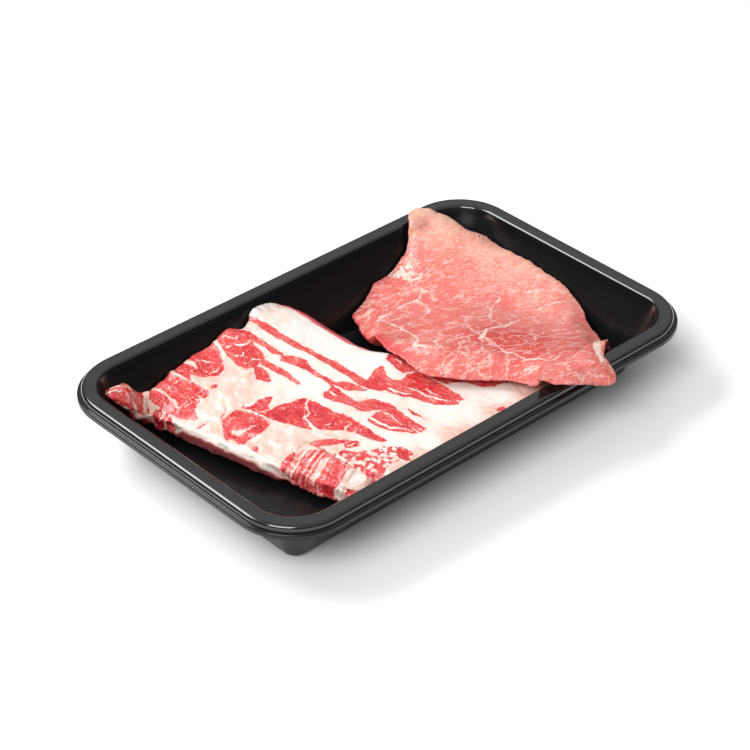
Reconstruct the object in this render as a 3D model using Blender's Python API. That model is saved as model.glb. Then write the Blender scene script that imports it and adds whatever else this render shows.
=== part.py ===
"""Meat tray of thin black plastic with a slab of belly meat and a slice of lean meat.

Lengths below are in millimetres and become metres when a mesh is made. The tray
stands on z = 0 with its length along x and its width along y.
"""

import math

import bmesh
import bpy
import numpy as np
from mathutils import Vector, geometry, noise

MM = 0.001

# Tray: a pressed sheet with leaning walls, a flat rim and a turned-down edge.
HALF_LENGTH = 105.4          # middle to the inner edge of the rim, along x
HALF_WIDTH = 63.2            # the same along y
CORNER_RADIUS = 17.8         # of the inner edge of the rim
TRAY_HEIGHT = 30.0
SHEET = 0.6
WALL_LEAN = 12.9             # how far a wall comes in from rim to base
RIM_WIDTH = 6.4
RIM_DROP = 2.9               # step down from the rim to the narrow ledge
LEDGE_REACH = 8.2            # outermost edge, measured from the inner edge of the rim
SKIRT_BOTTOM = 25.2
FLOOR_RING = -18.0           # where the flat floor takes over from the rings
CORNER_STEPS = 9

# Meat: lowest gaps to what it lies on.
SLAB_GAP = 0.5
SLICE_GAP = 0.7

# Slab of belly, outline seen from above, at half the height of its edge.
SLAB_OUTLINE = (
    (-58, -45), (-61, -34), (-65, -19.5), (-69.7, -2.5), (-73.3, 12.5),
    (-76.5, 27.5), (-79, 40.5), (-84, 47), (-92, 47), (-99, 48.5), (-102, 51.5),
    (-98.5, 55.5), (-92, 57.5), (-86.5, 57.5), (-82, 54.5), (-72, 55.5),
    (-60, 57.5), (-49, 58.5), (-41.5, 58.2), (-31.5, 60), (-28, 57), (-23, 58.5),
    (-18.5, 61), (-11, 61), (-3.5, 58.5), (1, 54.5), (5, 47.5), (7, 37), (8, 27),
    (9.5, 15), (12, 5), (19, -7), (31, -20), (45, -33), (54, -45), (53, -55),
    (42, -57.5), (20, -58), (-5, -58), (-30, -57.5), (-48, -55),
)
# Heights of the top of the slab before its edges are rounded.
SLAB_TOP = (
    (-57, -44, 17), (-66, 0, 15.5), (-76, 40, 15), (-101, 52, 31), (-92, 52, 28.5),
    (-85, 53, 24), (-79, 50, 19), (-70, 54, 21.5), (-48, 57, 24), (-31, 59, 27.5),
    (-15, 60, 28.5), (-3, 56, 26), (4, 43, 21), (7, 22, 19), (12, 4, 18),
    (45, -33, 17), (50, -55, 17.5), (0, -57, 18.5), (-35, -56, 18), (-35, 5, 17.5),
    (-35, 36, 20), (-12, -22, 18.5), (-60, 30, 17), (-10, 32, 21),
)
NUB_START = -80.0            # beyond this the thin end of the slab lifts clear
NUB_RISE = 1.3               # how steeply its underside lifts
SLAB_EDGE = 8.0              # how far in the rounding of the top edge reaches
SLAB_WAVE = 0.7              # height of the soft swells on its top

# Lean slice, outline seen from above, at half its thickness.
SLICE_OUTLINE = (
    (76, 66.5), (79.5, 66.2), (83, 63.2), (86.5, 59), (90.5, 54.5), (92, 47),
    (98.5, 39.5), (99.3, 21.5), (99.2, 5.5), (98.8, -5), (98.3, -12), (96.3, -20),
    (90.5, -30), (82, -44), (73.5, -56), (60, -65), (55.5, -71), (56, -76),
    (53, -78.5), (44.5, -76.5), (35, -72.5), (28, -67.5), (31, -57), (30, -48.5),
    (26, -41), (17.5, -32.5), (10, -23.5), (6, -15.5), (8, -1), (8, 7.5), (11.5, 18.5),
    (18.5, 33), (24.5, 43), (29, 50.5), (38, 52.5), (44.5, 54.8), (54, 55),
    (61, 56.3), (66.5, 58), (71.5, 61.5),
)
# Heights of the underside of the slice where it hangs clear of tray and slab.
SLICE_SAG = (
    (78, 66, 30.7), (85.5, 59, 29), (89.5, 54, 26), (90, 46.5, 23.5), (99, 39, 18.5),
    (99, 21, 18), (99, 5.5, 17.3), (98, -5, 16), (97, -12.5, 13.5), (94, -20.5, 10.8),
    (88, -31, 10.8), (77, -44.5, 14.8), (66, -57, 22), (55, -68, 30.5),
    (56, -76, 25.5), (45, -76, 26), (35, -72.5, 29.5), (31, -57.5, 21.5),
    (28.5, -49, 18.8), (24.5, -42, 18), (9, -24, 18), (5.5, -16, 18), (8, -1, 17.5),
    (7.5, 7.5, 15.5), (10.5, 18.5, 12), (17, 32.5, 8.3), (28, 50, 4.8),
    (37.5, 52, 6.8), (44, 54, 10.5), (54, 55, 12), (61.5, 56, 15.5), (67, 58, 18.7),
    (72, 61, 25), (55, 35, 8), (75, 30, 10), (80, 0, 8.5), (60, 5, 11), (40, 10, 13),
    (60, -25, 15), (40, -15, 17.5), (45, -45, 20),
)
SLICE_THICKNESS = 6.5
SLICE_THIN_ENDS = 2.2        # how much thinner it is where it bends over a rim
SLICE_EDGE = 4.0
SLICE_WAVE = 0.5


# ---------------------------------------------------------------- shared shapes
def corner_distance(x, y):
    """Distance outside the inner edge of the rim; below zero inside it."""
    dx = np.abs(x) - (HALF_LENGTH - CORNER_RADIUS)
    dy = np.abs(y) - (HALF_WIDTH - CORNER_RADIUS)
    outside = np.hypot(np.maximum(dx, 0), np.maximum(dy, 0))
    return outside + np.minimum(np.maximum(dx, dy), 0) - CORNER_RADIUS


def soft_max(a, b, width=1.2):
    """The larger of two heights, with the crease between them rounded."""
    return 0.5 * (a + b + np.sqrt((a - b) ** 2 + width ** 2))


def inside_height(x, y):
    """Height of the inside of the tray under a point."""
    below = np.minimum(corner_distance(x, y), 0)
    wall = TRAY_HEIGHT + below * TRAY_HEIGHT / (WALL_LEAN + 0.4)
    return soft_max(wall, SHEET, 1.5)


def rim_cover(x, y):
    """Lowest underside of meat that lies in the tray and bends over its long rims."""
    away = corner_distance(x, y)
    inward = 3.0 * np.maximum(0, HALF_WIDTH - np.abs(y) - 3.2)
    outward = 0.9 * np.maximum(0, away - 8.0)
    sideways = 2.0 * np.maximum(0, 71 - x) * (y > 0)
    bent = TRAY_HEIGHT + SLICE_GAP - inward - outward - sideways
    return np.where(away < 0, np.maximum(bent, inside_height(x, y) + 0.6), bent)


def closed_curve(points, step):
    """Points about one step apart on a smooth closed curve through an outline."""
    found = []
    count = len(points)
    for i in range(count):
        p = [np.array(points[(i + k) % count], float) for k in (-1, 0, 1, 2)]
        parts = max(1, round(float(np.linalg.norm(p[2] - p[1])) / step))
        for k in range(parts):
            t = k / parts
            a = 2 * p[1] + (p[2] - p[0]) * t
            b = (2 * p[0] - 5 * p[1] + 4 * p[2] - p[3]) * t * t
            c = (3 * p[1] - p[0] - 3 * p[2] + p[3]) * t ** 3
            found.append(0.5 * (a + b + c))
    return np.array(found)


def outward_normals(curve):
    """Unit normals of a closed curve, pointing away from its inside."""
    along = np.roll(curve, -1, axis=0) - np.roll(curve, 1, axis=0)
    normals = np.stack([along[:, 1], -along[:, 0]], axis=1)
    normals /= np.linalg.norm(normals, axis=1)[:, None]
    after = np.roll(curve, -1, axis=0)
    turn = np.sum(curve[:, 0] * after[:, 1] - after[:, 0] * curve[:, 1])
    return normals if turn > 0 else -normals


def ragged(curve, size, seed):
    """The curve with a small uneven edge."""
    normals = outward_normals(curve)
    shift = [noise.noise(Vector((p[0] * 0.16, p[1] * 0.16, seed))) for p in curve]
    return curve + normals * (size * np.array(shift))[:, None]


def edge_distance(points, curve):
    """Distance of points from a closed curve, above zero inside it."""
    a = curve[None, :, :]
    b = np.roll(curve, -1, axis=0)[None, :, :]
    p = points[:, None, :]
    span = b - a
    t = np.clip(np.sum((p - a) * span, axis=2) / np.sum(span ** 2, axis=2), 0, 1)
    nearest = np.min(np.linalg.norm(p - a - span * t[..., None], axis=2), axis=1)
    crosses = (a[..., 1] > p[..., 1]) != (b[..., 1] > p[..., 1])
    rise = np.where(span[..., 1] == 0, 1e-9, span[..., 1])
    at = a[..., 0] + (p[..., 1] - a[..., 1]) * span[..., 0] / rise
    inside = np.sum(crosses & (p[..., 0] < at), axis=1) % 2 == 1
    return np.where(inside, nearest, -nearest)


def bending_sheet(anchors):
    """A smooth height function that passes through every anchor."""
    spots = np.array(anchors, float)
    count = len(spots)

    def bend(a, b):
        r2 = np.sum((a[:, None, :] - b[None, :, :]) ** 2, axis=2)
        return r2 * np.log(r2 + 1e-9)

    flat = np.hstack([np.ones((count, 1)), spots[:, :2]])
    top = np.hstack([bend(spots[:, :2], spots[:, :2]) + 40 * np.eye(count), flat])
    low = np.hstack([flat.T, np.zeros((3, 3))])
    weights = np.linalg.solve(np.vstack([top, low]), np.append(spots[:, 2], [0, 0, 0]))

    def height(points):
        plane = np.hstack([np.ones((len(points), 1)), points])
        return bend(points, spots[:, :2]) @ weights[:count] + plane @ weights[count:]

    return height


def swell(points, size, scale, seed):
    """Soft uneven swells of the surface of the meat."""
    found = [noise.noise(Vector((p[0] / scale, p[1] / scale, seed))) for p in points]
    return size * np.array(found)


def spread(curve, insets, spacing):
    """Points that fill an outline: rings near its edge, then an even pattern."""
    normals = outward_normals(curve)
    rings = [curve]
    for inset in insets:
        ring = curve - normals * inset
        rings.append(ring[edge_distance(ring, curve) > 0.93 * inset])
    low, high = curve.min(axis=0), curve.max(axis=0)
    rows = int((high[1] - low[1]) / (spacing * 0.866)) + 1
    columns = int((high[0] - low[0]) / spacing) + 1
    grid = [(low[0] + spacing * (i + 0.5 * (j % 2)), low[1] + spacing * 0.866 * j)
            for j in range(rows) for i in range(columns)]
    grid = np.array(grid)
    keep = edge_distance(grid, curve) > insets[-1] + 0.55 * spacing
    return np.vstack(rings + [grid[keep]])


def triangles(points, border):
    """Triangles over the points, inside the outline that comes first among them."""
    spots = [Vector(p) for p in points]
    loop = [list(range(border))]
    verts, _, faces, source, _, _ = geometry.delaunay_2d_cdt(spots, [], loop, 1, 1e-5)
    return [(v.x, v.y) for v in verts], faces, [s[0] if s else -1 for s in source]


def add_skin(bm, rim, points, height, upward):
    """One skin of a meat body, sewn to the row of vertices round its edge."""
    flat, faces, source = triangles(points, len(rim))
    spots = np.array(flat)
    levels = height(spots)
    verts = []
    for place, level, origin in zip(flat, levels, source):
        if 0 <= origin < len(rim):
            verts.append(rim[origin])
        else:
            verts.append(bm.verts.new((place[0] * MM, place[1] * MM, level * MM)))
    for face in faces:
        a, b, c = (flat[i] for i in face)
        turn = (b[0] - a[0]) * (c[1] - a[1]) - (c[0] - a[0]) * (b[1] - a[1])
        order = face if (turn > 0) == upward else list(reversed(face))
        bm.faces.new([verts[i] for i in order])


def rounded(inset, reach, power):
    """How much of its full height an edge has at a distance in from the outline."""
    u = np.clip(inset / reach, 0, 1)
    return (1 - (1 - u) ** power) ** (1 / power)


def meat_body(name, curve, top, under, edge, tops, unders):
    """A closed piece of meat between a top and an underside height function."""
    share = 0.42

    def middle(points):
        return under(points) + share * (top(points) - under(points))

    def upper(points):
        part = rounded(edge_distance(points, curve), edge, 2.2)
        return middle(points) + (top(points) - middle(points)) * part

    def lower(points):
        part = rounded(edge_distance(points, curve), edge * 0.6, 2.4)
        return middle(points) - (middle(points) - under(points)) * part

    bm = bmesh.new()
    levels = middle(curve)
    rim = [bm.verts.new((p[0] * MM, p[1] * MM, z * MM)) for p, z in zip(curve, levels)]
    add_skin(bm, rim, spread(curve, *tops), upper, True)
    add_skin(bm, rim, spread(curve, *unders), lower, False)
    return finish(name, bm)


def finish(name, bm):
    """Turns a bmesh into a named object in the scene."""
    bmesh.ops.recalc_face_normals(bm, faces=bm.faces)
    mesh = bpy.data.meshes.new(name)
    bm.to_mesh(mesh)
    bm.free()
    body = bpy.data.objects.new(name, mesh)
    bpy.context.scene.collection.objects.link(body)
    mesh.shade_smooth()
    return body


def paint(body, colour, roughness):
    """Gives an object a plain material of its own."""
    material = bpy.data.materials.new(body.name + "_material")
    material.use_nodes = True
    shader = material.node_tree.nodes["Principled BSDF"]
    shader.inputs["Base Color"].default_value = (*colour, 1.0)
    shader.inputs["Roughness"].default_value = roughness
    shader.inputs["Metallic"].default_value = 0.0
    body.data.materials.append(material)


# ---------------------------------------------------------------- tray
def sheet_side(shift):
    """One face of the pressed sheet as (offset, height) points with round bends.

    shift is the distance from the middle of the sheet, above zero on the side
    that shows from above.
    """
    half = SHEET / 2
    ledge = TRAY_HEIGHT - RIM_DROP
    bends = (
        (-WALL_LEAN - 0.2, half, 3.4, 4),
        (0.2, TRAY_HEIGHT - half, 1.3, 3),
        (RIM_WIDTH - half, TRAY_HEIGHT - half, 0.9, 3),
        (RIM_WIDTH, ledge, 0.5, 2),
        (LEDGE_REACH - half, ledge - 0.15, 0.6, 2),
    )
    start, end = (FLOOR_RING, half), (LEDGE_REACH - half, SKIRT_BOTTOM)
    path = [start] + [bend[:2] for bend in bends] + [end]
    found = [(start[0], start[1] + shift)]
    for i, (_, _, radius, steps) in enumerate(bends):
        found += bend_points(path[i:i + 3], radius, steps, shift)
    found.append((end[0] + shift, end[1]))
    return found


def bend_points(path, radius, steps, shift):
    """Points round one bend of the sheet, on the face shifted from its middle."""
    before, corner, after = (Vector(p) for p in path)
    a = (corner - before).normalized()
    b = (after - corner).normalized()
    turn = math.atan2(a.x * b.y - a.y * b.x, a.dot(b))
    side = math.copysign(1, turn)
    left = Vector((-a.y, a.x)) * side
    centre = corner - a * (radius * math.tan(abs(turn) / 2)) + left * radius
    size = radius - side * shift
    found = []
    for k in range(steps + 1):
        c, s = math.cos(turn * k / steps), math.sin(turn * k / steps)
        spun = Vector((left.x * c - left.y * s, left.x * s + left.y * c))
        point = centre - spun * size
        found.append((point.x, point.y))
    return found


def tray_ring(bm, offset, height):
    """A rounded rectangle of vertices at an offset from the inner edge of the rim."""
    radius = CORNER_RADIUS + offset
    long, wide = HALF_LENGTH - CORNER_RADIUS, HALF_WIDTH - CORNER_RADIUS
    extra = min(0, radius - 1.5)
    radius = max(radius, 1.5)
    long, wide = long + extra, wide + extra
    ring = []
    for quarter, (sx, sy) in enumerate(((1, 1), (-1, 1), (-1, -1), (1, -1))):
        for k in range(CORNER_STEPS + 1):
            angle = math.pi / 2 * (quarter + k / CORNER_STEPS)
            x = sx * long + radius * math.cos(angle)
            y = sy * wide + radius * math.sin(angle)
            ring.append(bm.verts.new((x * MM, y * MM, height * MM)))
    return ring


def build_tray():
    """The tray: the upper face of the sheet out to the skirt and back underneath."""
    half = SHEET / 2
    profile = sheet_side(half) + list(reversed(sheet_side(-half)))
    bm = bmesh.new()
    rings = [tray_ring(bm, offset, height) for offset, height in profile]
    for low, high in zip(rings, rings[1:]):
        for i in range(len(low)):
            j = (i + 1) % len(low)
            bm.faces.new((low[i], low[j], high[j], high[i]))
    bm.faces.new(rings[0])
    bm.faces.new(rings[-1])
    body = finish("tray", bm)
    body.data.set_sharp_from_angle(angle=math.radians(50))
    paint(body, (0.012, 0.012, 0.013), 0.22)


# ---------------------------------------------------------------- meat
def slab_parts():
    """Outline, top and underside of the slab of belly."""
    curve = ragged(closed_curve(SLAB_OUTLINE, 3.2), 0.8, 3.0)
    sheet = bending_sheet(SLAB_TOP)

    def under(points):
        lift = NUB_RISE * (NUB_START - points[:, 0])
        resting = inside_height(points[:, 0], points[:, 1]) + SLAB_GAP
        return soft_max(resting, lift, 0.6)

    def top(points):
        level = sheet(points) + swell(points, SLAB_WAVE, 15.0, 7.0)
        return soft_max(level, under(points) + 2.4, 0.8)

    return curve, top, under


def build_slab():
    """The slab of belly, thick at its front corner and leaning on the far wall."""
    curve, top, under = slab_parts()
    tops, unders = ((0.5, 1.6, 3.4, 6.2), 5.0), ((0.8, 2.6), 7.5)
    body = meat_body("belly_slab", curve, top, under, SLAB_EDGE, tops, unders)
    paint(body, (0.80, 0.42, 0.38), 0.35)


def build_slice():
    """The lean slice, lying over the end of the slab and over both long rims."""
    slab_curve, slab_top, _ = slab_parts()
    curve = ragged(closed_curve(SLICE_OUTLINE, 3.0), 0.7, 11.0)
    sag = bending_sheet(SLICE_SAG)

    def under(points):
        beyond = np.maximum(0, -edge_distance(points, slab_curve) - 1.5)
        over_slab = slab_top(points) + SLICE_GAP - 1.6 * beyond
        level = soft_max(sag(points), over_slab)
        return soft_max(level, rim_cover(points[:, 0], points[:, 1]))

    def top(points):
        fold = swell(points, SLICE_WAVE, 13.0, 21.0)
        ends = np.clip((np.abs(points[:, 1]) - 48) / 14, 0, 1)
        return under(points) + SLICE_THICKNESS - SLICE_THIN_ENDS * ends + fold

    tops, unders = ((0.5, 1.4, 2.9), 5.0), ((0.7, 2.0), 4.5)
    body = meat_body("lean_slice", curve, top, under, SLICE_EDGE, tops, unders)
    paint(body, (0.76, 0.24, 0.22), 0.33)


def main():
    for old in list(bpy.data.objects):
        bpy.data.objects.remove(old, do_unlink=True)
    build_tray()
    build_slab()
    build_slice()


main()
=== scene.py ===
# %% [markdown]
# A black plastic meat tray with two pieces of raw meat in it. This lesson dresses the plain
# solids of the tray and the meat: a thin pressed tray with round bends, a slab of belly with
# its bands of lean and fat, and a thin lean slice that lies over the slab and both rims.
# Each step says what the thing is on the real object, how it could be made, and why this
# way was chosen. Lengths in the lists are millimetres; a mesh in Blender is in metres.

import itertools
import math

import bmesh
import bpy
import numpy as np
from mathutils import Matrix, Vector
from mathutils.kdtree import KDTree


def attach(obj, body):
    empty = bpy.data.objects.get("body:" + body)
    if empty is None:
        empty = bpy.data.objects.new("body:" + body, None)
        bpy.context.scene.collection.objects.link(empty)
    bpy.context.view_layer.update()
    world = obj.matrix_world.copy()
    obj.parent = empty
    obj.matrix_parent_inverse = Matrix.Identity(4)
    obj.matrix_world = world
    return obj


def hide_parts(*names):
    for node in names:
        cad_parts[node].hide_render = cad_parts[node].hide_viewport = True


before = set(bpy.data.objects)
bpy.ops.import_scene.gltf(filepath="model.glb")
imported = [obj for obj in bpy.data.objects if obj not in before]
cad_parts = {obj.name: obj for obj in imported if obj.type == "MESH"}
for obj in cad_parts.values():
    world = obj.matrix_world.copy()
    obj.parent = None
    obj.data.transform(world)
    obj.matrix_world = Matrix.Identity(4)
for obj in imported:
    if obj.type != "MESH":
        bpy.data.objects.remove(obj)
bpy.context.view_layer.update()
MM = 0.001
print("solids:", sorted(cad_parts))

# %% [markdown]
# The helpers come first. One turns a bmesh into an object, because every new piece ends that
# way. The others plant nodes in a material and wire their inputs, so that a material below
# reads as a list of what it is made of instead of a list of clicks.


# %% Helpers for meshes and nodes
def as_object(name, bm):
    """Ends a bmesh as a smooth object at the origin."""
    mesh = bpy.data.meshes.new(name)
    bm.to_mesh(mesh)
    bm.free()
    mesh.shade_smooth()
    body = bpy.data.objects.new(name, mesh)
    bpy.context.scene.collection.objects.link(body)
    return body


def plant(tree, kind, settings=None, **wires):
    """Adds a node, sets its properties, and fills its inputs with values or sockets."""
    node = tree.nodes.new(kind)
    for key, value in (settings or {}).items():
        setattr(node, key, value)
    for key, value in wires.items():
        slot = int(key[1:]) if key[0] == "i" and key[1:].isdigit() else key.replace("_", " ")
        if isinstance(value, bpy.types.NodeSocket):
            tree.links.new(value, node.inputs[slot])
        else:
            node.inputs[slot].default_value = value
    return node


def math_node(tree, operation, a, b=0.0, c=0.0, clamp=False):
    """One sum as a Math node, and its result."""
    settings = {"operation": operation, "use_clamp": clamp}
    return plant(tree, "ShaderNodeMath", settings, i0=a, i1=b, i2=c).outputs[0]


def ramp_up(tree, value, low, high):
    """0 below low, 1 above high, and a smooth step between."""
    settings = {"interpolation_type": "SMOOTHSTEP"}
    node = plant(tree, "ShaderNodeMapRange", settings, Value=value)
    node.inputs["From Min"].default_value = low
    node.inputs["From Max"].default_value = high
    return node.outputs["Result"]


def blend(tree, share, a, b):
    """Colour a turning into colour b as share goes from 0 to 1."""
    node = plant(tree, "ShaderNodeMix", {"data_type": "RGBA"}, i0=share)
    for slot, value in ((6, a), (7, b)):
        if isinstance(value, bpy.types.NodeSocket):
            tree.links.new(value, node.inputs[slot])
        else:
            node.inputs[slot].default_value = (*value, 1.0)
    return node.outputs[2]


def tint(tree, colour, mask, share, shade):
    """Lays a share of a shade over a colour where a mask is 1."""
    return blend(tree, math_node(tree, "MULTIPLY", mask, share), colour, shade)


def noise(tree, place, scale, detail):
    """Noise between 0 and 1; a larger scale makes it finer."""
    return plant(tree, "ShaderNodeTexNoise", Vector=place, Scale=scale, Detail=detail).outputs["Fac"]


def sway(tree, value, amount):
    """Noise between 0 and 1 turned into a change that goes both up and down."""
    return math_node(tree, "MULTIPLY_ADD", value, amount, -amount / 2)


def new_material(name):
    """A material with only its Principled BSDF and output."""
    material = bpy.data.materials.new(name)
    material.use_nodes = True
    tree = material.node_tree
    return material, tree, tree.nodes["Principled BSDF"]


print("helpers ready")

# %% [markdown]
# The tray is one sheet of black polypropylene, about 0.6 mm thick, pressed over a mould, so
# every bend is round. It could be a block with its inside cut out, but then each bend would
# need a bevel on both faces. Here the floor's edge is a loop that is extruded ring by ring
# along the section of the sheet, and Solidify gives the sheet its thickness.

# %% The section of the tray, from the floor to the turned-down edge
HALF_LENGTH, HALF_WIDTH, CORNER_RADIUS = 105.4, 63.2, 17.8
HEIGHT, SHEET, WALL_LEAN = 30.0, 0.6, 12.9
RIM_WIDTH, LEDGE_REACH, LEDGE, SKIRT_BOTTOM = 6.4, 8.2, 27.1, 25.2
INNER_RING, SLOPE_SHIFT, LEDGE_DROOP, SMALLEST_RADIUS = -18.0, 0.2, 0.03, 1.5
BENDS = ((3.4, 10), (1.4, 10), (1.4, 10), (0.35, 4), (0.3, 4))  # radius and steps, floor first
QUARTER = 28
SHARP_ANGLE = math.radians(55)


def bend(before, corner, after, radius, steps):
    """Points round one bend of the sheet."""
    before, corner, after = Vector(before), Vector(corner), Vector(after)
    a, b = (corner - before).normalized(), (after - corner).normalized()
    turn = math.atan2(a.x * b.y - a.y * b.x, a.dot(b))
    side = Vector((-a.y, a.x)) * math.copysign(1, turn)
    centre = corner - a * radius * math.tan(abs(turn) / 2) + side * radius
    found = []
    for k in range(steps + 1):
        c, s = math.cos(turn * k / steps), math.sin(turn * k / steps)
        found.append(centre - Vector((side.x * c - side.y * s, side.x * s + side.y * c)) * radius)
    return [tuple(p) for p in found]


half = SHEET / 2
path = [
    (INNER_RING, half), (-WALL_LEAN - SLOPE_SHIFT, half), (SLOPE_SHIFT, HEIGHT - half),
    (RIM_WIDTH - half, HEIGHT - half), (RIM_WIDTH, LEDGE),
    (LEDGE_REACH - half, LEDGE - LEDGE_DROOP), (LEDGE_REACH - half, SKIRT_BOTTOM),
]
section = [path[0]]
for spot, (radius, steps) in enumerate(BENDS):
    section += bend(*path[spot:spot + 3], radius, steps)
section.append(path[-1])
print(len(section), "rings in the section")


# %% Extrude the tray ring by ring
def place_ring(verts, offset, height):
    """Moves a ring of vertices to an offset from the rim's inner edge, at a height."""
    radius = max(CORNER_RADIUS + offset, SMALLEST_RADIUS)
    inward = min(0, CORNER_RADIUS + offset - SMALLEST_RADIUS)
    for i, vert in enumerate(verts):
        quarter, step = divmod(i, QUARTER + 1)
        angle = math.pi / 2 * (quarter + step / QUARTER)
        sx, sy = ((1, 1), (-1, 1), (-1, -1), (1, -1))[quarter]
        x = sx * (HALF_LENGTH - CORNER_RADIUS + inward) + radius * math.cos(angle)
        y = sy * (HALF_WIDTH - CORNER_RADIUS + inward) + radius * math.sin(angle)
        vert.co = (x * MM, y * MM, height * MM)


bm = bmesh.new()
count = 4 * (QUARTER + 1)
ring = bmesh.ops.create_circle(bm, cap_ends=True, segments=count, radius=0.05)["verts"]
place_ring(ring, *section[0])
for offset, height in section[1:]:
    edges = [bm.edges.get((ring[i], ring[(i + 1) % count])) for i in range(count)]
    made = bmesh.ops.extrude_edge_only(bm, edges=edges)["geom"]
    fresh = {v for v in made if isinstance(v, bmesh.types.BMVert)}
    ring = [next(e.other_vert(v) for e in v.link_edges if e.other_vert(v) in fresh) for v in ring]
    place_ring(ring, offset, height)
bmesh.ops.recalc_face_normals(bm, faces=bm.faces)
if sum(f.normal.z * f.calc_area() for f in bm.faces) < 0:
    bmesh.ops.reverse_faces(bm, faces=bm.faces)
tray = as_object("meat_tray", bm)
wall = tray.modifiers.new("sheet thickness", "SOLIDIFY")
wall.thickness, wall.offset, wall.use_even_offset = SHEET * MM, 0.0, True
tray.data.set_sharp_from_angle(angle=SHARP_ANGLE)
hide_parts("tray")
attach(tray, "root")
print("tray:", len(tray.data.vertices), "vertices before its thickness")

# %% [markdown]
# Meat has no straight line anywhere, and its look is in how lean and fat share its surface.
# The solids give its lie in the tray. A Remesh lays an even skin of half-millimetre squares
# over a merged copy of each, and a smooth pass takes the corners of the solid away. On such
# a skin every vertex can know whether it is lean or fat, and can be raised or sunk by it.


# %% Lay an even skin over a solid
MERGE_DISTANCE = 2e-6
SQUARE = 0.5


def even_skin(node, name, square, rounds):
    """A fine, even, smooth copy of one of the solids."""
    bm = bmesh.new()
    bm.from_mesh(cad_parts[node].data)
    bmesh.ops.remove_doubles(bm, verts=bm.verts, dist=MERGE_DISTANCE)
    bmesh.ops.recalc_face_normals(bm, faces=bm.faces)
    rough = as_object(name + "_rough", bm)
    remesh = rough.modifiers.new("even squares", "REMESH")
    remesh.mode, remesh.voxel_size = "VOXEL", square * MM
    soften = rough.modifiers.new("take corners away", "SMOOTH")
    soften.factor, soften.iterations = 0.5, rounds
    graph = bpy.context.evaluated_depsgraph_get()
    mesh = bpy.data.meshes.new_from_object(rough.evaluated_get(graph))
    bpy.data.objects.remove(rough)
    mesh.name = name
    mesh.shade_smooth()
    skin = bpy.data.objects.new(name, mesh)
    bpy.context.scene.collection.objects.link(skin)
    print(name, "has", len(mesh.vertices), "vertices")
    return skin


slab = even_skin("belly_slab", "belly_slab_skin", SQUARE, 24)
lean_slice = even_skin("lean_slice", "lean_slice_skin", SQUARE, 16)

# %% [markdown]
# The markings are drawn as a butcher sees them from above, in millimetres: an area of lean
# is a closed outline, a streak of fat is a line with a width at each of its points. Painting
# them in a picture would tie the looks to a bitmap. Instead every vertex gets its distance
# from the nearest border, so the border stays crisp at any size and can be frayed later.


# %% Helpers that measure distances to drawn shapes
def nearest(points, line, closed=False):
    """Distance from each point to a line, and how far along the nearest piece of it."""
    a = np.array(line if closed else line[:-1], float)
    b = np.roll(a, -1, axis=0) if closed else np.array(line[1:], float)
    best, where = np.full(len(points), 1e9), np.zeros(len(points))
    for k in range(len(a)):
        span = b[k] - a[k]
        t = np.clip((points - a[k]) @ span / max(span @ span, 1e-9), 0, 1)
        away = np.linalg.norm(points - a[k] - t[:, None] * span, axis=1)
        closer = away < best
        best[closer], where[closer] = away[closer], k + t[closer]
    return best, where


def area(points, outline):
    """Distance inside a closed outline; below zero outside it."""
    away, _ = nearest(points, outline, closed=True)
    inside = np.zeros(len(points), bool)
    for (x1, y1), (x2, y2) in zip(outline, outline[1:] + outline[:1]):
        crosses = (y1 > points[:, 1]) != (y2 > points[:, 1])
        at = (x2 - x1) * (points[:, 1] - y1) / ((y2 - y1) or 1e-9) + x1
        inside ^= crosses & (points[:, 0] < at)
    return np.where(inside, away, -away)


def streak(points, line):
    """Distance inside a streak whose points are (x, y, half width)."""
    away, where = nearest(points, [p[:2] for p in line])
    return np.interp(where, range(len(line)), [p[2] for p in line]) - away


def swell(points, size, seed):
    """Even noise between -1 and 1 whose swells are about size millimetres wide."""
    p = points / size + seed * 17.31
    cell = np.floor(p)
    t = (p - cell) ** 2 * (3 - 2 * (p - cell))
    total = np.zeros(len(points))
    for corner in itertools.product((0, 1), repeat=3):
        h = np.sin((cell + corner) @ np.array([127.1, 311.7, 74.7])) * 43758.5453
        share = np.prod(np.where(np.array(corner), t, 1 - t), axis=1)
        total += share * (2 * (h - np.floor(h)) - 1)
    return total


def soft_map(points, anchors, reach=9.0):
    """A value that drifts smoothly between anchors given as (x, y, value)."""
    spots = np.array(anchors, float)
    gaps = ((points[:, None, :] - spots[None, :, :2]) ** 2).sum(axis=2) + reach
    pull = 1 / gaps ** 2
    return (pull * spots[:, 2]).sum(axis=1) / pull.sum(axis=1)


def step(value, low, high):
    """0 below low, 1 above high, smooth between."""
    t = np.clip((value - low) / (high - low), 0, 1)
    return t * t * (3 - 2 * t)


def frayed(spots, seeds, broad, fine):
    """Small moves in x and y that fray drawn borders; broad and fine are (size, amount)."""
    return np.stack([swell(spots, broad[0], seed) * broad[1]
                     + swell(spots, fine[0], seed + 3) * fine[1] for seed in seeds], axis=1)


def plan_tree(spots):
    """Finds the nearest of some places as seen from above."""
    found = KDTree(len(spots))
    for i, (x, y, _) in enumerate(spots):
        found.insert((x, y, 0), i)
    found.balance()
    return found


def read(skin):
    """Places in millimetres and normals of a skin's vertices."""
    mesh = skin.data
    spots = np.empty(len(mesh.vertices) * 3)
    mesh.vertices.foreach_get("co", spots)
    normals = np.empty(len(mesh.vertices) * 3)
    mesh.vertices.foreach_get("normal", normals)
    return spots.reshape(-1, 3) / MM, normals.reshape(-1, 3)


def store(skin, **values):
    """Keeps one value a vertex under each name."""
    for name, numbers in values.items():
        layer = skin.data.attributes.new(name, "FLOAT", "POINT")
        layer.data.foreach_set("value", np.ascontiguousarray(numbers, np.float32))


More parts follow.
